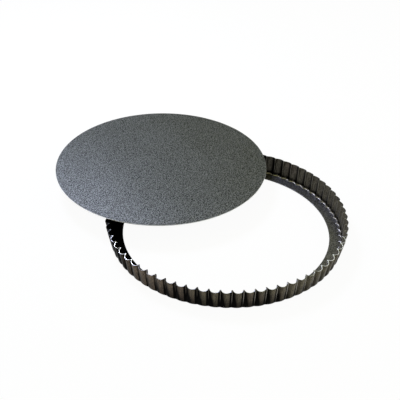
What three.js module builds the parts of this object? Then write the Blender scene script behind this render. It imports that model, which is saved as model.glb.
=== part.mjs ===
// Loose-bottom tart pan: a fluted ring with a narrow ledge, and a flat round bottom that drops onto it.
// The bottom has been lifted out and lies flat across the ring's rim, towards the back and the left.
// Millimetres, +Z up. The origin is the middle of the space that both take up, on the surface they stand on.
import * as THREE from "three";

// The loose bottom is a plain disc of sheet steel.
const BOTTOM_DIAMETER = 264.5;
const BOTTOM_SHEET = 0.9;

// The ring is one pressed sheet: a wall of flutes that leans outwards, turned in at its foot to a flat ledge.
const RING_SHEET = 0.8;
const RING_HEIGHT = 25;
const WALL_FLARE = 1.2; // how much farther out the ridges stand at the rim than at the foot
const FOLD_RADIUS = 0.8; // inside bend between the wall and the ledge
const LEDGE_REACH = 12.1; // how far the ledge reaches in under the bottom's edge
const SEAT_CLEARANCE = 0.3; // between the edge of a bottom in its seat and the start of the fold

// Each flute is an arc that bulges outwards. Outside, neighbours meet in a sharp groove. Inside, the sheet
// is bent round that groove to a ridge. The depths are those of the grooves.
const FLUTE_COUNT = 72;
const FLUTE_DEPTH_AT_FOOT = 1;
const FLUTE_DEPTH_AT_RIM = 4.4;
const RIM_DIP = 1; // how much lower the rim is at a flute's middle than at a ridge

// Where the bottom lies on the rim: its centre's distance from the ring's axis, and the direction from +X.
const BOTTOM_SHIFT = 129.7;
const BOTTOM_BEARING = THREE.MathUtils.degToRad(127.05);
const REST_CLEARANCE = 0.3;

// Fineness of the facets.
const FLUTE_STEPS = 6;
const FOLD_STEPS = 2;
const BOTTOM_STEPS = 144;

const COATING = { metalness: 0.35, roughness: 0.5 };
const RING_COLOUR = 0x46433c;
const BOTTOM_COLOUR = 0x62666a;

// Sizes that follow from the ones above.
const bottomRadius = BOTTOM_DIAMETER / 2;
const holeRadius = bottomRadius - LEDGE_REACH;
const wallRise = RING_HEIGHT - RING_SHEET;
const ridgeLean = Math.atan2(WALL_FLARE, wallRise);
const footRidge = bottomRadius + SEAT_CLEARANCE + foldReach(ridgeLean, FOLD_RADIUS);
const rimRidge = footRidge + WALL_FLARE;
const halfFlute = Math.PI / FLUTE_COUNT;

// Distance from the corner between the ledge and the wall to where the fold's arc leaves the ledge.
function foldReach(lean, radius) {
  return radius / Math.tan((Math.PI / 2 + lean) / 2);
}

// Plan of the flutes at a height: the grooves' radius, and the centre and radius of the outside's arcs.
function flutePlan(height) {
  const rise = (height - RING_SHEET) / wallRise;
  const groove = THREE.MathUtils.lerp(footRidge, rimRidge, rise) + RING_SHEET;
  const crown = groove + THREE.MathUtils.lerp(FLUTE_DEPTH_AT_FOOT, FLUTE_DEPTH_AT_RIM, rise);
  const centre = (crown ** 2 - groove ** 2) / (2 * (crown - groove * Math.cos(halfFlute)));
  return { groove, centre, arc: crown - centre };
}

// Distance from the axis, at an angle from a flute's middle, of a circle about a point on that middle.
function circleRadius(angle, centre, radius) {
  return centre * Math.cos(angle) + Math.sqrt(radius ** 2 - (centre * Math.sin(angle)) ** 2);
}

// Radius of the wall's outside at a height and an angle from a flute's middle.
function outsideRadius(angle, height) {
  const { centre, arc } = flutePlan(height);
  return circleRadius(angle, centre, arc);
}

// Radius of the wall's inside, one sheet in from the outside. Near a ridge it is an arc about the groove.
function insideRadius(angle, height) {
  const { groove, centre, arc } = flutePlan(height);
  const share = RING_SHEET / arc;
  const bendAlong = THREE.MathUtils.lerp(groove * Math.cos(halfFlute), centre, share);
  const bendAcross = THREE.MathUtils.lerp(groove * Math.sin(halfFlute), 0, share);
  if (Math.abs(angle) <= Math.atan2(bendAcross, bendAlong)) {
    return circleRadius(angle, centre, arc - RING_SHEET);
  }
  const fromRidge = halfFlute - Math.abs(angle);
  return groove * Math.cos(fromRidge) - Math.sqrt(RING_SHEET ** 2 - (groove * Math.sin(fromRidge)) ** 2);
}

// Points of a fold's arc, from the flat at the given height round to the wall that leans away from it.
function foldArc(corner, height, lean, radius) {
  const centre = corner - foldReach(lean, radius);
  return Array.from({ length: FOLD_STEPS + 1 }, (_, step) => {
    const turn = THREE.MathUtils.lerp(-Math.PI / 2, -lean, step / FOLD_STEPS);
    return [centre + radius * Math.cos(turn), height + radius + radius * Math.sin(turn)];
  });
}

// The closed section of the ring at one angle from a flute's middle, as [radius, height] points. The rim dips
// in step with the flute's bulge, and its cut face is square to the sheet.
function ringSection(angle) {
  const innerFoot = insideRadius(angle, RING_SHEET);
  const outerFoot = outsideRadius(angle, 0);
  const innerRim = insideRadius(angle, RING_HEIGHT);
  const innerFlare = innerRim - innerFoot;
  const outerFlare = outsideRadius(angle, RING_HEIGHT) - outerFoot;
  const innerLean = Math.atan2(innerFlare, wallRise);
  const outerLean = Math.atan2(outerFlare, RING_HEIGHT);
  const innerTop = RING_HEIGHT - (RIM_DIP * (innerRim - rimRidge)) / FLUTE_DEPTH_AT_RIM;
  const outerTop = innerTop - RING_SHEET * Math.sin(outerLean);
  return [
    [holeRadius, 0],
    ...foldArc(outerFoot, 0, outerLean, FOLD_RADIUS + RING_SHEET),
    [outerFoot + (outerFlare * outerTop) / RING_HEIGHT, outerTop],
    [innerFoot + (innerFlare * (innerTop - RING_SHEET)) / wallRise, innerTop],
    ...foldArc(innerFoot, RING_SHEET, innerLean, FOLD_RADIUS).reverse(),
    [holeRadius, RING_SHEET],
  ];
}

// A closed skin through sections set round the +Z axis, each with its bearing and its outline.
function loopSkin(sections) {
  const around = sections.length;
  const along = sections[0].outline.length;
  const position = sections.flatMap(({ bearing, outline }) =>
    outline.flatMap(([radius, height]) => [radius * Math.cos(bearing), radius * Math.sin(bearing), height]),
  );
  const index = [];
  for (let i = 0; i < around; i++) {
    const next = (i + 1) % around;
    for (let j = 0; j < along; j++) {
      const beside = (j + 1) % along;
      const [a, b] = [i * along + j, next * along + j];
      const [c, d] = [next * along + beside, i * along + beside];
      index.push(a, b, c, a, c, d);
    }
  }
  const geometry = new THREE.BufferGeometry();
  geometry.setAttribute("position", new THREE.Float32BufferAttribute(position, 3));
  geometry.setIndex(index);
  geometry.computeVertexNormals();
  return geometry;
}

// Fluted ring, with a ridge on the +X axis, standing on its ledge.
function flutedRing() {
  const sections = Array.from({ length: FLUTE_COUNT * FLUTE_STEPS }, (_, i) => {
    const flute = Math.floor(i / FLUTE_STEPS);
    const halfTurn = Math.PI * ((i % FLUTE_STEPS) / FLUTE_STEPS - 1 / 2);
    const angle = halfFlute * Math.sin(halfTurn);
    return { bearing: (2 * flute + 1) * halfFlute + angle, outline: ringSection(angle) };
  });
  const material = new THREE.MeshStandardMaterial({ color: RING_COLOUR, ...COATING });
  const ring = new THREE.Mesh(loopSkin(sections), material);
  ring.name = "fluted_ring";
  return ring;
}

// Loose bottom, lying flat on the rim.
function looseBottom() {
  const profile = [
    new THREE.Vector2(0, 0),
    new THREE.Vector2(bottomRadius, 0),
    new THREE.Vector2(bottomRadius, BOTTOM_SHEET),
    new THREE.Vector2(0, BOTTOM_SHEET),
  ];
  const geometry = new THREE.LatheGeometry(profile, BOTTOM_STEPS).rotateX(Math.PI / 2);
  const material = new THREE.MeshStandardMaterial({ color: BOTTOM_COLOUR, ...COATING });
  const bottom = new THREE.Mesh(geometry, material);
  bottom.name = "loose_bottom";
  bottom.position.set(
    BOTTOM_SHIFT * Math.cos(BOTTOM_BEARING),
    BOTTOM_SHIFT * Math.sin(BOTTOM_BEARING),
    RING_HEIGHT + REST_CLEARANCE,
  );
  return bottom;
}

// Both pieces, moved together so that the origin is below the middle of the space they take up.
function tartPan() {
  const pieces = new THREE.Group();
  pieces.add(flutedRing(), looseBottom());
  const middle = new THREE.Box3().setFromObject(pieces).getCenter(new THREE.Vector3());
  pieces.position.set(-middle.x, -middle.y, 0);
  const pan = new THREE.Group();
  pan.name = "loose_bottom_tart_pan";
  pan.add(pieces);
  return pan;
}

export default tartPan();
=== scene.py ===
"""Looks of a loose-bottom tart pan: a fluted ring on a pale floor, with its flat bottom lying across the rim.

Lengths are in metres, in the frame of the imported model. Skins are worked out as whole arrays.
"""
import math

import bpy
import numpy as np
from mathutils import Matrix, Vector


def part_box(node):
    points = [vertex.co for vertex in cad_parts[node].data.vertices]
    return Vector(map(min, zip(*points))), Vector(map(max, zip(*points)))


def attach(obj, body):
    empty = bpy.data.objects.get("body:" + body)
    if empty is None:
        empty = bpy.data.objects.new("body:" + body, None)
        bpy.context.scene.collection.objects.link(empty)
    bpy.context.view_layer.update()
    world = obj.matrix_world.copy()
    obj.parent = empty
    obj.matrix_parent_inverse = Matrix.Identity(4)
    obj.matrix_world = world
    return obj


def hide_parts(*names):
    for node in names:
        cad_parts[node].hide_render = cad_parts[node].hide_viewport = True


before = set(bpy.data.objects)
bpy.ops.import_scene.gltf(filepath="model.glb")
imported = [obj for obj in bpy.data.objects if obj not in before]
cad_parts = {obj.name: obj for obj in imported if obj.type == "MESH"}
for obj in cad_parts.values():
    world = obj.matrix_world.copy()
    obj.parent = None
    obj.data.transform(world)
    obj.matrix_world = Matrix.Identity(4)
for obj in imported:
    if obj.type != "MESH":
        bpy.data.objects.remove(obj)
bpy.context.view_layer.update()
MM = 0.001

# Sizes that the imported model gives.
ring_low, ring_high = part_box("fluted_ring")
bottom_low, bottom_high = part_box("loose_bottom")
RING_AXIS = (ring_low + ring_high) / 2
RING_HEIGHT = ring_high.z
BOTTOM_AXIS = (bottom_low + bottom_high) / 2
BOTTOM_RADIUS = (bottom_high.x - bottom_low.x) / 2

# Sizes of the ring's pressing.
RING_SHEET = 0.8 * MM
WALL_FLARE = 1.2 * MM
FOLD_RADIUS = 0.8 * MM
RIDGE_BEND = 3.2 * MM  # inside bend under a ridge, where it opens out
LEDGE_REACH = 12.1 * MM
SEAT_CLEARANCE = 0.3 * MM
FLUTE_COUNT = 72
FLUTE_DEPTH_AT_FOOT = 1.0 * MM
FLUTE_DEPTH_AT_RIM = 4.4 * MM
RIM_DIP = 1.0 * MM  # how much lower the rim is at a flute's middle than at a ridge
HALF_FLUTE = math.pi / FLUTE_COUNT
WALL_RISE = RING_HEIGHT - RING_SHEET
GROOVE_SOFTNESS = 0.07  # share of half a flute over which a groove's bottom is round
CUT_ROUND = 0.2 * MM  # how far the cut edges are rounded off

# Fineness of the skins: steps, and the shares of each straight run at which it has points.
FLUTE_STEPS = 20
FOLD_STEPS = 7
CORNER_STEPS = 3
BOTTOM_STEPS = 288
WALL_SHARES = (0.03, 0.2, 0.4, 0.6, 0.8, 0.95, 0.99)
LEDGE_SHARES = (0.04, 0.1, 0.5, 0.95)
BOTTOM_SHARES = (0.1, 0.25, 0.4, 0.55, 0.7, 0.85, 0.95, 0.985, 0.997)
CORNER_THROUGH = np.linspace(0, 0.35, CORNER_STEPS + 1)  # the attribute through, over a cut edge's corner

# Camera: where the middle of the rim lies as the camera sees it.
SENSOR_WIDTH = 36
CAMERA_LENS = 66.253
CAMERA_ELEVATION = math.radians(34.826)
CAMERA_TURN = math.radians(1.325)
CAMERA_ROLL = math.radians(1.088)
RIM_AHEAD = 849.45 * MM
RIM_RIGHT = 30.98 * MM
RIM_BELOW = 12.9 * MM

# Floor and light.
WHITE = (1, 1, 1, 1)
FLOOR_REACH = 60.0
FLOOR_GREY = (0.8, 0.8, 0.8, 1)
FLOOR_WHITENESS = 0.95
HORIZON = (0.115, 0.118, 0.06, 1)
ZENITH = (0.61, 0.63, 0.32, 1)
DOME_RISE = (0.3, 0.95)  # the sine of the height over which the horizon's colour turns to the zenith's
BACKDROP_TOP = (0.04, 0.08)  # the same, for the white band that carries on the floor

# Colours of the finishes.
WALL_DARK = (0.04, 0.035, 0.03, 1)
WALL_BROWN = (0.165, 0.138, 0.125, 1)
WALL_OLIVE = (0.16, 0.15, 0.125, 1)
OUTER_BROWN = (0.19, 0.145, 0.108, 1)
OUTER_OLIVE = (0.175, 0.157, 0.103, 1)
LEDGE_DARK = (0.08, 0.077, 0.084, 1)
LEDGE_LIGHT = (0.255, 0.246, 0.266, 1)
# Near black that the painted shade and the bottom's painted shadow blend to.
SHADE_BLACK = (0.0012, 0.001, 0.0008, 1)
# Light coat of the painted highlight lines: in the grooves outside, and rub and painted highlight beside
# ridges inside.
HIGHLIGHT_COAT = (0.55, 0.53, 0.5, 1)
# Light colour of the painted highlight crescents on the inside bend.
BEND_HIGHLIGHT_COAT = (0.46, 0.42, 0.34, 1)
BOTTOM_DARK = (0.014, 0.015, 0.014, 1)
BOTTOM_LIGHT = (0.195, 0.2, 0.196, 1)
# The rim's steel: dull, and bare and bright in the zones of wear and painted highlight.
DULL_STEEL = (0.2, 0.2, 0.2, 1)
BARE_STEEL = (0.74, 0.75, 0.8, 1)
WARM_STEEL = (0.76, 0.74, 0.7, 1)

# Grain of the coatings, and the spans of the noise that make its marks.
PEBBLE_SIZE = 1.2 * MM
PEBBLE_DETAIL = 1.5
PEBBLE_HEIGHT = 0.12 * MM
STREAK_SIZE = 1.2 * MM
STREAK_STRETCH = (1, 1, 0.12)
PATCH_SIZE = 45 * MM
# Speckles are darker where the pebbled bump is low: grain, and partly painted shade in its hollows.
SPECKLES = (0.35, 0.65)
STREAKS = (0.3, 0.7)
OLIVE_PATCHES = (0.4, 0.6)
OLIVE_DRIFT = 1.5  # how much the patches lean to olive for each metre to the right
# The bottom is darker in the pebbles' hollows: grain, and partly painted shade.
HOLLOWS = (0.48, 0.52)
PATCH_SHARE = 0.08

# Bare line along a cut edge: how uneven it is, and the share of the edge that is coated on either side of it.
RAGGED_SIZE = 2 * MM
RAGGEDNESS = 0.2
EDGE_FADE = 0.05
BOTTOM_EDGE_COATED = 0.12
RIM_EDGE_COATED = 0.25
LEFT_EDGE_COATED = 0.07  # what is added in the rim's left zone of wear and painted highlight

# Gloss of the coatings.
RING_METAL = 0.9
WALL_DULLNESS = 0.4
# The steel in the rim's zones of wear and painted highlight is less metallic, so the lamps light it up.
GLINT_DULLNESS = 0.6
STEEL_ROUGHNESS = 0.32
COAT_ROUGHNESS = 0.04  # what the ring's coat adds to the steel's
# The bottom's painted shadow on the ledge is also rougher.
SHADOW_ROUGHNESS = 0.5
RING_ROUGHNESS_SPREAD = 0.1
RING_SPECULAR = 0.15
RING_SPECULAR_TINT = (0.5, 0.5, 0.5, 1)
BOTTOM_METAL = 0.8
EDGE_DULLNESS = 0.5
BOTTOM_ROUGHNESS = 0.43
BOTTOM_ROUGHNESS_SPREAD = 0.08

# Zones of the ring's finish. Each pair is where a change starts and where it is complete.
# To the right of the ring's axis:
# The rim's far left is coated over, as the bottom's painted shadow.
SHADOWED_RIM = (-136.5 * MM, -121.5 * MM)
# The rim's left zone of wear and painted highlight, where its bare steel shows.
LEFT_WEAR_AND_GLINT = (-133.5 * MM, -121.5 * MM)
# The outside is darker at the far left.
FAR_LEFT_DARK_EDGE = (-123.5 * MM, -97.5 * MM)
# End of the rim's left zone of wear and painted highlight.
LEFT_WEAR_AND_GLINT_END = (-107.5 * MM, -95.5 * MM)
COATED_PEAKS = (-100 * MM, -85 * MM)
# Left side kept lighter, as painted light.
LEFT_LIT_SIDE = (-90 * MM, -55 * MM)
# Painted shade stripes beside the grooves: narrower on the left, wider on the right.
NARROW_STRIPES = (-90 * MM, -50 * MM)
# Edge of the bottom's painted shadow on the ledge and the wall's inside.
SHADOW_EDGE = (-85.5 * MM, -5.5 * MM)
NEAR_LEFT_END = (-50 * MM, -10 * MM)
# The painted highlight in the grooves is fainter to the left.
LIT_GROOVES = (-35 * MM, 20 * MM)
# Right side kept lighter, as painted light.
RIGHT_LIT_SIDE = (32 * MM, 67 * MM)
WIDE_STRIPES = (34.5 * MM, 74.5 * MM)
# The inside is darker to the left of this, as the bottom's painted shadow.
CLEAR_INSIDE = (64.5 * MM, 89.5 * MM)
# The rim's near-right zone of wear and painted highlight.
RIGHT_WEAR_AND_GLINT = (69.5 * MM, 99.5 * MM)
FAR_RIGHT = (85 * MM, 115 * MM)
# Behind the ring's axis:
BACK = (-55 * MM, -25 * MM)
# Over a flute, from -1 to 1, or from its middle:
INNER_SHADE = (-0.9, 0.3)
OUTER_SHADE = (-0.75, 0.1)
STRIPE = (0.55, 0.68)
RIDGE_SIDE = (0.8, 0.92)
PEAK = (0.6, 0.9)
GROOVE = (0.9, 0.96)
# Up the wall:
BEND_TOP = (2.2 * MM, 2.7 * MM)
INNER_FOOT = (3 * MM, 7 * MM)
OUTER_FOOT = (2 * MM, 22 * MM)
GROOVE_LINE = (3 * MM, 12 * MM)
RIDGE_LINE = (6 * MM, 12 * MM)
# Over the inside of the bend, from 0 on the ledge to 1 on the wall:
BEND_START = (0.1, 0.3)
INNER_WALL = (0.6, 1)
RIDGE_WALL = (0.9, 1)

# Strengths of the ring's painted shade, painted shadow and painted highlights, and of its wear, as shares.
# How far the edge of the bottom's painted shadow wanders.
SHADOW_WANDER = 40 * MM
SHADOWED_RIM_COATED = 0.95
NEAR_LEFT_COATED = 0.6
PEAKS_COATED = 0.85
FAR_RIGHT_COATED = 0.7
GROOVE_BASE = 0.4  # how bright the painted groove highlight is on the left, against the right
GROOVE_HIGHLIGHT = 0.7
RIDGE_RUB_AND_HIGHLIGHT = 0.15
BEND_HIGHLIGHT = 0.8
FAR_BEND_DIMMING = 0.35
BEND_DROP = 2 * MM  # how much lower the painted highlight line on the bend ends at a ridge
# Darkening on the outside: painted shade on stripes, flute sides, foot and middle, sides kept lighter as
# painted light; the far left darker.
STRIPE_DARK = 0.95
STRIPE_FADING = 0.2
STRIPE_WIDENING = 0.18
STRIPE_NARROWING = 0.14
SIDE_LIGHTENING = 0.6
FAR_LEFT_DARK = 0.97
FOOT_DARK = 0.8
FOOT_SIDE_LIGHTENING = 0.35
OUTER_DARK = 0.2
# Darkening on the inside: all over, painted shade on the flute sides and at the foot, and the bottom's painted
# shadow on the left.
INNER_DARK = 0.25
INNER_LEFT_DARK = 0.25
INNER_SHADE_DARK = 0.65
INNER_FOOT_DARK = 0.5


class Value:
    """A number that varies over a surface: an output socket whose operators add Math nodes."""

    def __init__(self, tree, socket):
        self.tree = tree
        self.socket = socket

    def math(self, operation, *others):
        return self.tree.add("ShaderNodeMath", {"operation": operation}, [self, *others])

    def __add__(self, other):
        return self.math("ADD", other)

    __radd__ = __add__

    def __sub__(self, other):
        return self.math("SUBTRACT", other)

    def __rsub__(self, other):
        return self.math("MULTIPLY", -1) + other

    def __mul__(self, other):
        return self.math("MULTIPLY", other)

    __rmul__ = __mul__

    def step(self, low, high):
        """0 below low, 1 above high, and smooth between."""
        span = {"Value": self, "From Min": low, "From Max": high}
        return self.tree.add("ShaderNodeMapRange", {"interpolation_type": "SMOOTHSTEP"}, span)


class Tree:
    """The nodes of one material or world."""

    def __init__(self, owner):
        owner.use_nodes = True
        self.tree = owner.node_tree
        self.tree.nodes.clear()

    def add(self, kind, settings=None, inputs=None, output=0):
        """Adds a node, sets its properties, fills its inputs by name or in order, and returns one output."""
        node = self.tree.nodes.new(kind)
        for name, value in (settings or {}).items():
            setattr(node, name, value)
        filled = inputs or {}
        pairs = filled.items() if isinstance(filled, dict) else enumerate(filled)
        for name, value in pairs:
            if isinstance(value, Value):
                self.tree.links.new(value.socket, node.inputs[name])
            else:
                node.inputs[name].default_value = value
        return Value(self, node.outputs[output]) if len(node.outputs) else node

    def blend(self, share, first, second):
        """A colour between two colours."""
        return self.add("ShaderNodeMix", {"data_type": "RGBA"}, {0: share, 6: first, 7: second}, output=2)

    def noise(self, size, detail=2.0, stretch=(1, 1, 1)):
        """Values about 0.5, in blobs of about the given size, drawn out along axes of a stretch below 1."""
        place = self.add("ShaderNodeTexCoord", output="Object")
        drawn = self.add("ShaderNodeMapping", None, {"Vector": place, "Scale": stretch})
        return self.add("ShaderNodeTexNoise", None, {"Vector": drawn, "Scale": 1 / size, "Detail": detail})

    def place(self, axis):
        """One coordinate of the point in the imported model's frame."""
        point = self.add("ShaderNodeTexCoord", output="Object")
        return self.add("ShaderNodeSeparateXYZ", None, [point], output=axis)

    def attribute(self, name):
        return self.add("ShaderNodeAttribute", {"attribute_name": name}, output="Fac")

    def shown(self):
        """1 for what the camera sees itself, in reflections or through glass."""
        kinds = ("Is Camera Ray", "Is Glossy Ray", "Is Transmission Ray")
        straight, mirrored, bent = [self.add("ShaderNodeLightPath", output=kind) for kind in kinds]
        return (straight + mirrored + bent).math("MINIMUM", 1)

    def bump(self, height, distance):
        return self.add("ShaderNodeBump", None, {"Strength": 1.0, "Distance": distance, "Height": height})


def skin(name, points, faces, attributes):
    """A smooth mesh object from points, faces and one number a point for each attribute."""
    mesh = bpy.data.meshes.new(name)
    mesh.from_pydata(points.tolist(), [], faces)
    mesh.polygons.foreach_set("use_smooth", np.ones(len(mesh.polygons), bool))
    for label, values in attributes.items():
        layer = mesh.attributes.new(label, "FLOAT", "POINT")
        layer.data.foreach_set("value", values.reshape(-1).astype(np.float32))
    mesh.update()
    piece = bpy.data.objects.new(name, mesh)
    bpy.context.scene.collection.objects.link(piece)
    return piece


def loop_faces(around, along):
    """Quads of a grid, point i * along + j, that closes on itself both round and along."""
    i, j = np.meshgrid(np.arange(around), np.arange(along), indexing="ij")
    following, beside = (i + 1) % around, (j + 1) % along
    corners = [i * along + j, following * along + j, following * along + beside, i * along + beside]
    return np.stack(corners, -1).reshape(-1, 4).tolist()


def turned_faces(around, along):
    """Faces of a turned shape: a point on the axis, then circles of points, then a last point on the axis."""
    i = np.arange(around)
    following = (i + 1) % around
    start = 1 + around * np.arange(along - 1)[:, None]
    quads = np.stack([start + i, start + following, start + around + following, start + around + i], -1)
    last = 1 + around * (along - 1)
    low_fan = np.stack([np.zeros_like(i), 1 + following, 1 + i], -1)
    high_fan = np.stack([last + i, last + following, np.full_like(i, last + around)], -1)
    return [*quads.reshape(-1, 4).tolist(), *low_fan.tolist(), *high_fan.tolist()]


def fold_reach(lean, radius):
    """Distance from the corner between ledge and wall to where the fold's arc leaves the ledge."""
    return radius / np.tan((math.pi / 2 + lean) / 2)


def flute_plan(height):
    """Plan of the flutes at a height: the grooves' radius, and the outside arcs' centre and radius."""
    rise = (height - RING_SHEET) / WALL_RISE
    foot_ridge = BOTTOM_RADIUS + SEAT_CLEARANCE + fold_reach(math.atan2(WALL_FLARE, WALL_RISE), FOLD_RADIUS)
    groove = foot_ridge + WALL_FLARE * rise + RING_SHEET
    crown = groove + FLUTE_DEPTH_AT_FOOT + (FLUTE_DEPTH_AT_RIM - FLUTE_DEPTH_AT_FOOT) * rise
    centre = (crown**2 - groove**2) / (2 * (crown - groove * math.cos(HALF_FLUTE)))
    return groove, centre, crown - centre


def circle_radius(angle, centre, radius):
    """Distance from the axis, at an angle from a flute's middle, of a circle about a point on that middle."""
    return centre * np.cos(angle) + np.sqrt(np.maximum(radius**2 - (centre * np.sin(angle)) ** 2, 0))


def outside_radius(across, height):
    """Plan radius of the wall's outside: arcs that meet in grooves. Across runs from -1 to 1 over a flute."""
    _, centre, arc = flute_plan(height)
    angle = HALF_FLUTE * (1 - np.hypot(1 - np.abs(across), GROOVE_SOFTNESS))
    return circle_radius(angle, centre, arc)


def inside_radius(across, height):
    """Plan radius of the wall's inside, a sheet in from the outside: near a ridge, an arc about the groove."""
    groove, centre, arc = flute_plan(height)
    angle = HALF_FLUTE * np.abs(across)
    share = RING_SHEET / arc
    bend_along = groove * math.cos(HALF_FLUTE) * (1 - share) + centre * share
    bend_across = groove * math.sin(HALF_FLUTE) * (1 - share)
    from_ridge = HALF_FLUTE - angle
    bend = np.sqrt(np.maximum(RING_SHEET**2 - (groove * np.sin(from_ridge)) ** 2, 0))
    ridge = groove * np.cos(from_ridge) - bend
    flute = circle_radius(angle, centre, arc - RING_SHEET)
    return np.where(angle <= math.atan2(bend_across, bend_along), flute, ridge)


def fold_arc(corner, height, lean, radius):
    """Points of a fold from the flat round to the wall: an arc from straight down to the wall's normal."""
    centre = corner - fold_reach(lean, radius)
    turns = [-math.pi / 2 + (math.pi / 2 - lean) * step / FOLD_STEPS for step in range(FOLD_STEPS + 1)]
    return [(centre + radius * np.cos(turn), height + radius + radius * np.sin(turn)) for turn in turns]


def run(start, end, shares):
    """Points on the straight line from start to end, at the given shares of it."""
    return [tuple(a + (b - a) * share for a, b in zip(start, end)) for share in shares]


def run_back(start, end, shares):
    """Points on the straight line from start to end, at the given shares counted from its end."""
    return run(start, end, [1 - share for share in shares[::-1]])


def rounded_corner(corner, before, after):
    """A corner cut back by CUT_ROUND along both its sides and bent round between, as a quadratic curve."""
    def towards(target):
        away = [b - a for a, b in zip(corner, target)]
        length = np.hypot(*away)
        return tuple(a + d * CUT_ROUND / length for a, d in zip(corner, away))

    first, last = towards(before), towards(after)
    shares = [step / CORNER_STEPS for step in range(CORNER_STEPS + 1)]
    return [tuple((1 - t) ** 2 * p + 2 * t * (1 - t) * c + t**2 * q for p, c, q in zip(first, corner, last))
            for t in shares]


def ring_section(across):
    """The ring's section at places across a flute, as points of a radius and a height each: a folded sheet.

    It comes as three runs: the ledge's underside from the hole outwards, then the outside's fold and wall up
    to the rim, then the inside from the rim back to the hole. The rim dips in step with each flute's bulge.
    """
    inner_foot, outer_foot = inside_radius(across, RING_SHEET), outside_radius(across, 0)
    inner_rim = inside_radius(across, RING_HEIGHT)
    inner_flare = inner_rim - inner_foot
    outer_flare = outside_radius(across, RING_HEIGHT) - outer_foot
    inner_lean, outer_lean = np.arctan2(inner_flare, WALL_RISE), np.arctan2(outer_flare, RING_HEIGHT)
    inner_height = RING_HEIGHT - RIM_DIP * (inner_rim - inner_rim.min()) / FLUTE_DEPTH_AT_RIM
    outer_height = inner_height - RING_SHEET * np.sin(outer_lean)
    inner_top = (inner_foot + inner_flare * (inner_height - RING_SHEET) / WALL_RISE, inner_height)
    outer_top = (outer_foot + outer_flare * outer_height / RING_HEIGHT, outer_height)
    outer_fold = fold_arc(outer_foot, 0, outer_lean, FOLD_RADIUS + RING_SHEET)
    bend = FOLD_RADIUS + (RIDGE_BEND - FOLD_RADIUS) * across**2
    inner_fold = fold_arc(inner_foot, RING_SHEET, inner_lean, bend)[::-1]
    hole = BOTTOM_RADIUS - LEDGE_REACH
    hole_low, hole_high = (hole, 0.0), (hole, RING_SHEET)
    under = [
        *rounded_corner(hole_low, hole_high, outer_fold[0]),
        *run(hole_low, outer_fold[0], LEDGE_SHARES),
    ]
    outside = [
        *outer_fold,
        *run(outer_fold[-1], outer_top, WALL_SHARES),
        *rounded_corner(outer_top, outer_fold[-1], inner_top),
    ]
    inside = [
        *rounded_corner(inner_top, outer_top, inner_fold[0]),
        *run_back(inner_top, inner_fold[0], WALL_SHARES),
        *inner_fold,
        *run_back(inner_fold[-1], hole_high, LEDGE_SHARES),
        *rounded_corner(hole_high, inner_fold[-1], hole_low),
    ]
    return under, outside, inside


def fluted_ring():
    """The ring: its section carried round the axis, with the wall's radius following the flutes.

    The attribute through runs over the cut edges from 0 on the sheet's outside to 1 on its inside. The
    attribute outer is 1 on the wall's outside, and inner runs over the bend from 0 on the ledge to 1 on the
    wall's inside. The attribute around runs over each flute from -1 to 1, counter-clockwise seen from above.
    """
    spread = np.sin(np.linspace(-math.pi / 2, math.pi / 2, FLUTE_STEPS, endpoint=False))
    across = np.tile(spread, FLUTE_COUNT)
    flute = np.repeat(np.arange(FLUTE_COUNT), FLUTE_STEPS)
    bearing = HALF_FLUTE * (2 * flute + 1 + across)
    under, outside, inside = ring_section(across)
    section = [*under, *outside, *inside]
    radius = np.stack([np.broadcast_to(r, across.shape) for r, _ in section], -1)
    height = np.stack([np.broadcast_to(z, across.shape) for _, z in section], -1)
    points = np.stack([
        RING_AXIS.x + radius * np.cos(bearing)[:, None],
        RING_AXIS.y + radius * np.sin(bearing)[:, None],
        height,
    ], -1)
    index = np.arange(len(section))
    from_end = len(section) - 1 - index
    inside_first = len(under) + len(outside)
    on_outside = (index >= len(under) + FOLD_STEPS) & (index < inside_first)
    up_bend = np.clip((from_end - len(under)) / FOLD_STEPS, 0, 1) * (index >= inside_first)
    onto_cut, off_cut = CORNER_THROUGH, CORNER_THROUGH[::-1]
    outside_flat = np.zeros(inside_first - 2 * len(onto_cut))
    inside_flat = np.ones(len(inside) - 2 * len(onto_cut))
    through = np.concatenate([off_cut, outside_flat, onto_cut, 1 - off_cut, inside_flat, 1 - onto_cut])
    attributes = {
        "through": np.broadcast_to(through, radius.shape),
        "outer": np.broadcast_to(on_outside, radius.shape),
        "inner": np.broadcast_to(up_bend, radius.shape),
        "around": np.broadcast_to(across[:, None], radius.shape),
    }
    return skin("coated_ring", points.reshape(-1, 3), loop_faces(len(across), len(section)), attributes)


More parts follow.
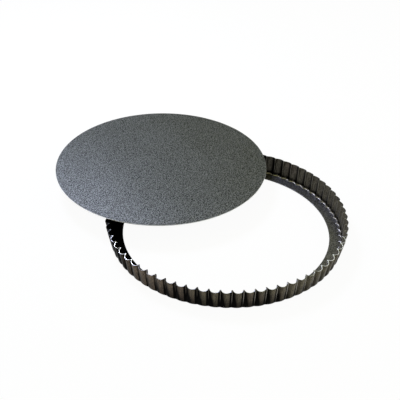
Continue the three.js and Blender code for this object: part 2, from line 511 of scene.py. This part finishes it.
def loose_bottom():
    """The bottom: a flat sheet turned about its axis, with its cut edge rounded off.

    The attribute through runs over the cut edge from 0 on the underside to 1 on top.
    """
    bearing = np.arange(BOTTOM_STEPS) * 2 * math.pi / BOTTOM_STEPS
    low, high = bottom_low.z, bottom_high.z
    edge_low, edge_high = (BOTTOM_RADIUS, low), (BOTTOM_RADIUS, high)
    section = [
        *[(BOTTOM_RADIUS * share, low) for share in BOTTOM_SHARES],
        *rounded_corner(edge_low, (0.0, low), edge_high),
        *rounded_corner(edge_high, edge_low, (0.0, high)),
        *[(BOTTOM_RADIUS * share, high) for share in BOTTOM_SHARES[::-1]],
    ]
    radius, height = np.array(section).T[:, :, None]
    circles = np.stack([
        BOTTOM_AXIS.x + radius * np.cos(bearing),
        BOTTOM_AXIS.y + radius * np.sin(bearing),
        np.broadcast_to(height, (len(section), BOTTOM_STEPS)),
    ], -1)
    ends = np.array([[[BOTTOM_AXIS.x, BOTTOM_AXIS.y, z]] for z in (low, high)])
    points = np.concatenate([ends[0], circles.reshape(-1, 3), ends[1]])
    flat = np.zeros(len(BOTTOM_SHARES))
    through = np.concatenate([flat, CORNER_THROUGH, 1 - CORNER_THROUGH[::-1], 1 - flat])
    through = np.concatenate([[0], np.repeat(through, BOTTOM_STEPS), [1]])
    return skin("coated_bottom", points, turned_faces(BOTTOM_STEPS, len(section)), {"through": through})


def bare_edge(tree, coated):
    """1 along the middle of a cut edge, where the coating leaves an uneven line of steel bare.

    Coated is the share of the edge's width that the coating covers on either side of the line.
    """
    through = tree.attribute("through") + (tree.noise(RAGGED_SIZE) - 0.5) * RAGGEDNESS
    first_side = through.step(coated - EDGE_FADE, coated + EDGE_FADE)
    last_side = through.step(1 - EDGE_FADE - coated, 1 + EDGE_FADE - coated)
    return first_side * (1 - last_side)


class RingFinish(Tree):
    """The nodes of the ring's coating, with the places on the ring that its methods share.

    Rightwards and backwards are distances from the ring's axis. Around runs over a flute from -1 to 1, and
    from_middle is its size. The rim mask of wear and glint is 1 on bare steel at the left and at the near
    right: partly wear, partly a painted highlight.
    """

    def __init__(self, material):
        super().__init__(material)
        self.pebbles = self.noise(PEBBLE_SIZE, PEBBLE_DETAIL)
        self.patches = self.noise(PATCH_SIZE)
        self.rightwards = self.place("X") - RING_AXIS.x
        self.height = self.place("Z")
        self.around = self.attribute("around")
        self.from_middle = self.around.math("ABSOLUTE")
        self.outer = self.attribute("outer")
        self.inner = self.attribute("inner")
        self.on_wall = self.outer + self.inner
        backwards = (self.place("Y") - RING_AXIS.y).step(*BACK)
        self.far_right = self.rightwards.step(*FAR_RIGHT) * backwards
        # Zones of wear and painted highlight on the cut rim, at the left and the near right.
        self.left_wear_and_glint = self.rightwards.step(*LEFT_WEAR_AND_GLINT) * (1 - self.rightwards.step(*LEFT_WEAR_AND_GLINT_END))
        self.wear_and_glint = self.rightwards.step(*RIGHT_WEAR_AND_GLINT) * (1 - backwards) + self.left_wear_and_glint
        # Painted highlight along the groove bottoms, fainter to the left.
        lit_grooves = self.rightwards.step(*LIT_GROOVES) * (1 - GROOVE_BASE) + GROOVE_BASE
        self.groove = self.from_middle.step(*GROOVE) * lit_grooves
        # Painted highlight: a crescent of light coat on each inside bend, standing in for its reflection.
        crescent = self.height + self.from_middle * self.from_middle * BEND_DROP
        self.bend_line = self.inner.step(*BEND_START) * (1 - crescent.step(*BEND_TOP))

    def bare_rim(self):
        """1 on bare steel: a line along the cut edges, as wear and as a painted highlight, mostly coated
        elsewhere.
        """
        # Painted shade and shadow: the bare line is coated on the near left, peaks, far right and in the
        # bottom's painted shadow.
        near_left = self.rightwards.step(*LEFT_WEAR_AND_GLINT_END) * (1 - self.rightwards.step(*NEAR_LEFT_END))
        shadowed = 1 - self.rightwards.step(*SHADOWED_RIM)
        peaks = self.from_middle.step(*PEAK) * self.rightwards.step(*COATED_PEAKS) * (1 - self.wear_and_glint)
        line = bare_edge(self, self.left_wear_and_glint * LEFT_EDGE_COATED + RIM_EDGE_COATED)
        line = line * (1 - near_left * NEAR_LEFT_COATED) * (1 - shadowed * SHADOWED_RIM_COATED)
        return line * (1 - peaks * PEAKS_COATED) * (1 - self.far_right * FAR_RIGHT_COATED)

    def coat(self):
        """The coat's own colour: a speckled grey ledge, and a streaked wall in patches of brown and olive. The
        speckle is darker where the pebbled bump is low: grain, and partly painted shade.
        """
        streaks = self.noise(STREAK_SIZE, stretch=STREAK_STRETCH).step(*STREAKS)
        speckles = self.pebbles.step(*SPECKLES)
        olive = (self.patches + self.rightwards * OLIVE_DRIFT).step(*OLIVE_PATCHES)
        inside = self.blend(olive, WALL_BROWN, WALL_OLIVE)
        outside = self.blend(olive, OUTER_BROWN, OUTER_OLIVE)
        wall = self.blend((streaks + speckles) * 0.5, WALL_DARK, self.blend(self.outer, inside, outside))
        ledge = self.blend(speckles, LEDGE_DARK, LEDGE_LIGHT)
        return self.blend(self.on_wall, ledge, wall)

    def highlighted_coat(self):
        """The coat with painted highlight lines: in grooves outside, rub and painted highlight beside ridges
        inside, and a crescent on each bend.
        """
        # Painted highlight lines in the grooves, and rub and painted highlight beside the ridges.
        groove_line = self.outer * self.groove * self.height.step(*GROOVE_LINE)
        ridge_side = self.inner.step(*RIDGE_WALL) * self.around.step(*RIDGE_SIDE)
        ridge_line = ridge_side * self.height.step(*RIDGE_LINE)
        lined = self.blend(groove_line * GROOVE_HIGHLIGHT + ridge_line * RIDGE_RUB_AND_HIGHLIGHT, self.coat(), HIGHLIGHT_COAT)
        # Painted highlight crescents on the bend, dimmer at the far right.
        return self.blend(self.bend_line * (BEND_HIGHLIGHT - self.far_right * FAR_BEND_DIMMING), lined, BEND_HIGHLIGHT_COAT)

    def outside_dark(self):
        """How far the outside is darkened, as painted shade.

        Each flute is dark on its clockwise side and has a dark stripe on the other, and the foot is darker.
        The far left is darker too. The left and right are kept lighter, as painted light, and the middle
        darker.
        """
        # Painted light: the left and right sides are kept lighter.
        lit_sides = self.rightwards.step(*RIGHT_LIT_SIDE) + 1 - self.rightwards.step(*LEFT_LIT_SIDE)
        wide = self.rightwards.step(*WIDE_STRIPES)
        narrow = 1 - self.rightwards.step(*NARROW_STRIPES)
        # Painted shade: a dark stripe beside each groove.
        stripe = (self.around + wide * STRIPE_WIDENING - narrow * STRIPE_NARROWING).step(*STRIPE)
        stripe = stripe * (STRIPE_DARK - narrow * STRIPE_FADING)
        # Painted shade on each flute's clockwise side.
        shade = (1 - self.around.step(*OUTER_SHADE)) * (1 - lit_sides * SIDE_LIGHTENING)
        # Darker at the far left.
        far_left = (1 - self.rightwards.step(*FAR_LEFT_DARK_EDGE)) * FAR_LEFT_DARK
        # Painted shade: the foot is darker.
        foot = (1 - self.height.step(*OUTER_FOOT)) * (FOOT_DARK - lit_sides * FOOT_SIDE_LIGHTENING)
        clouded = ((shade + stripe + far_left) * (1 - self.groove) + foot).math("MINIMUM", 1)
        # Painted shade: the middle is darker than the lit sides.
        return 1 - (1 - clouded) * (1 - (1 - lit_sides) * OUTER_DARK)

    def inside_dark(self):
        """How far the wall's inside is darkened as painted shade, except on the painted highlight crescents.

        It is darkened all over, more on the left as the bottom's painted shadow, and on each flute's clockwise
        side and at the foot as painted shade.
        """
        # The bottom's painted shadow: darker on the left.
        left = (1 - self.rightwards.step(*CLEAR_INSIDE)) * INNER_LEFT_DARK
        # Painted shade on each flute's clockwise side.
        shade = (1 - self.around.step(*INNER_SHADE)) * INNER_SHADE_DARK
        # Painted shade: darker at the foot.
        foot = (1 - self.height.step(*INNER_FOOT)) * INNER_FOOT_DARK
        return self.inner.step(*INNER_WALL) * (left + shade + foot + INNER_DARK) * (1 - self.bend_line)

    def painted_shadow(self):
        """1 where the bottom's painted shadow blackens the ledge and the wall's inside: on the left, with a
        wandering edge.
        """
        wandering = self.rightwards + (self.patches - 0.5) * SHADOW_WANDER
        return (1 - self.outer) * (1 - wandering.step(*SHADOW_EDGE))


def ring_coating():
    """Dark coating on the ring, with painted shade, shadow and highlights by place, and bare steel along the
    cut edges as wear and painted highlight.
    """
    material = bpy.data.materials.new("ring_coating")
    finish = RingFinish(material)
    # The bottom's painted shadow on the left of the ledge and the inside.
    bare, shadow_mask = finish.bare_rim(), finish.painted_shadow()
    # Painted shade and painted shadow, blended towards near black.
    dark = (finish.outer * finish.outside_dark() + finish.inside_dark() + shadow_mask).math("MINIMUM", 1)
    coat = finish.blend(dark, finish.highlighted_coat(), SHADE_BLACK)
    # Rim steel: bare and bright where wear and painted highlight are, and dull elsewhere.
    steel = finish.blend(finish.wear_and_glint, DULL_STEEL, BARE_STEEL)
    steel = finish.blend(finish.left_wear_and_glint, steel, WARM_STEEL)
    coat_metal = RING_METAL - finish.on_wall * (1 - dark) * WALL_DULLNESS
    steel_metal = 1 - finish.wear_and_glint * GLINT_DULLNESS
    coat_roughness = shadow_mask * SHADOW_ROUGHNESS + COAT_ROUGHNESS
    uneven = (finish.patches - 0.5) * RING_ROUGHNESS_SPREAD
    shader = finish.add("ShaderNodeBsdfPrincipled", None, {
        "Base Color": finish.blend(bare, coat, steel),
        "Metallic": coat_metal * (1 - bare) + steel_metal * bare,
        "Roughness": coat_roughness * (1 - bare) + uneven + STEEL_ROUGHNESS,
        "Specular IOR Level": RING_SPECULAR,
        "Specular Tint": RING_SPECULAR_TINT,
        "Normal": finish.bump(finish.pebbles, PEBBLE_HEIGHT),
    })
    finish.add("ShaderNodeOutputMaterial", None, {"Surface": shader})
    return material


def bottom_coating():
    """Pebbled grey coating: close bumps with darker hollows (grain, and partly painted shade), faint patches
    and a bare cut edge.
    """
    material = bpy.data.materials.new("bottom_coating")
    tree = Tree(material)
    pebbles = tree.noise(PEBBLE_SIZE, PEBBLE_DETAIL)
    patches = tree.noise(PATCH_SIZE)
    bare = bare_edge(tree, BOTTOM_EDGE_COATED)
    # Darker in the pebbles' hollows: grain, and partly painted shade.
    lightness = pebbles.step(*HOLLOWS) * (1 - PATCH_SHARE) + patches * PATCH_SHARE
    coat = tree.blend(lightness, BOTTOM_DARK, BOTTOM_LIGHT)
    shader = tree.add("ShaderNodeBsdfPrincipled", None, {
        "Base Color": tree.blend(bare, coat, BARE_STEEL),
        "Metallic": BOTTOM_METAL - bare * EDGE_DULLNESS,
        "Roughness": (patches - 0.5) * BOTTOM_ROUGHNESS_SPREAD + BOTTOM_ROUGHNESS,
        "Normal": tree.bump(pebbles, PEBBLE_HEIGHT),
    })
    tree.add("ShaderNodeOutputMaterial", None, {"Surface": shader})
    return material


def pale_floor():
    """A wide floor, white to the camera and in reflections, that keeps a soft shadow of the pan."""
    mesh = bpy.data.meshes.new("pale_floor")
    corners = [(x * FLOOR_REACH, y * FLOOR_REACH, 0) for x, y in ((-1, -1), (1, -1), (1, 1), (-1, 1))]
    mesh.from_pydata(corners, [], [(0, 1, 2, 3)])
    floor = bpy.data.objects.new("pale_floor", mesh)
    bpy.context.scene.collection.objects.link(floor)
    material = bpy.data.materials.new("pale_floor")
    tree = Tree(material)
    lit = tree.add("ShaderNodeBsdfDiffuse", None, {"Color": FLOOR_GREY})
    white = tree.add("ShaderNodeEmission", None, {"Color": WHITE, "Strength": 1.0})
    mixed = tree.add("ShaderNodeMixShader", None, [tree.shown() * FLOOR_WHITENESS, lit, white])
    tree.add("ShaderNodeOutputMaterial", None, {"Surface": mixed})
    mesh.materials.append(material)


def soft_lamp(name, spot, size, energy, colour):
    """A round lamp that looks at the middle of the pan."""
    lamp = bpy.data.lights.new(name, "AREA")
    lamp.shape = "DISK"
    lamp.size = size
    lamp.energy = energy
    lamp.color = colour
    holder = bpy.data.objects.new(name, lamp)
    holder.location = spot
    holder.rotation_euler = (-Vector(spot)).to_track_quat("-Z", "Y").to_euler()
    bpy.context.scene.collection.objects.link(holder)


def studio_light():
    """A dome that is dim at the horizon and bright above, a cool lamp high up and two warm ones at the sides.

    A white band along the horizon carries on the floor, for the camera and in reflections.
    """
    world = bpy.data.worlds.new("studio")
    bpy.context.scene.world = world
    tree = Tree(world)
    direction = tree.add("ShaderNodeTexCoord", output="Generated")
    upwards = tree.add("ShaderNodeSeparateXYZ", None, [direction], output="Z")
    dome = tree.blend(upwards.step(*DOME_RISE), HORIZON, ZENITH)
    backdrop = tree.blend(tree.shown() * (1 - upwards.step(*BACKDROP_TOP)), dome, WHITE)
    sky = tree.add("ShaderNodeBackground", None, {"Color": backdrop, "Strength": 1.0})
    tree.add("ShaderNodeOutputWorld", None, {"Surface": sky})
    soft_lamp("left_lamp", spot=(-0.355, 0.43, 0.805), size=0.3, energy=10, colour=(0.655, 0.715, 1.0))
    soft_lamp("right_lamp", spot=(1.27, -0.1, 0.4), size=1.4, energy=13, colour=(1.0, 0.97, 0.88))
    soft_lamp("side_lamp", spot=(-1.12, -0.62, 0.4), size=1.2, energy=5, colour=(1.0, 0.93, 0.84))


def photograph_camera():
    """A camera with the rim's middle at its measured place in the picture, turned and rolled as measured."""
    rim_middle = Vector((RING_AXIS.x, RING_AXIS.y, RING_HEIGHT))
    level_right = Vector((math.cos(CAMERA_TURN), -math.sin(CAMERA_TURN), 0))
    level_ahead = Vector((math.sin(CAMERA_TURN), math.cos(CAMERA_TURN), 0))
    ahead = level_ahead * math.cos(CAMERA_ELEVATION) - Vector((0, 0, math.sin(CAMERA_ELEVATION)))
    up = level_right.cross(ahead)
    eye = rim_middle - ahead * RIM_AHEAD - level_right * RIM_RIGHT + up * RIM_BELOW
    right = level_right * math.cos(CAMERA_ROLL) + up * math.sin(CAMERA_ROLL)
    top = up * math.cos(CAMERA_ROLL) - level_right * math.sin(CAMERA_ROLL)
    data = bpy.data.cameras.new("photograph_camera")
    data.sensor_width = SENSOR_WIDTH
    data.lens = CAMERA_LENS
    camera = bpy.data.objects.new("photograph_camera", data)
    turned = Matrix((right, top, -ahead)).transposed().to_4x4()
    camera.matrix_world = Matrix.Translation(eye) @ turned
    bpy.context.scene.collection.objects.link(camera)
    bpy.context.scene.camera = camera


bpy.context.scene.view_settings.view_transform = "Standard"
photograph_camera()
pale_floor()
studio_light()

ring = fluted_ring()
ring.data.materials.append(ring_coating())
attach(ring, "ring")
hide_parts("fluted_ring")

bottom = loose_bottom()
bottom.data.materials.append(bottom_coating())
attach(bottom, "bottom")
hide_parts("loose_bottom")
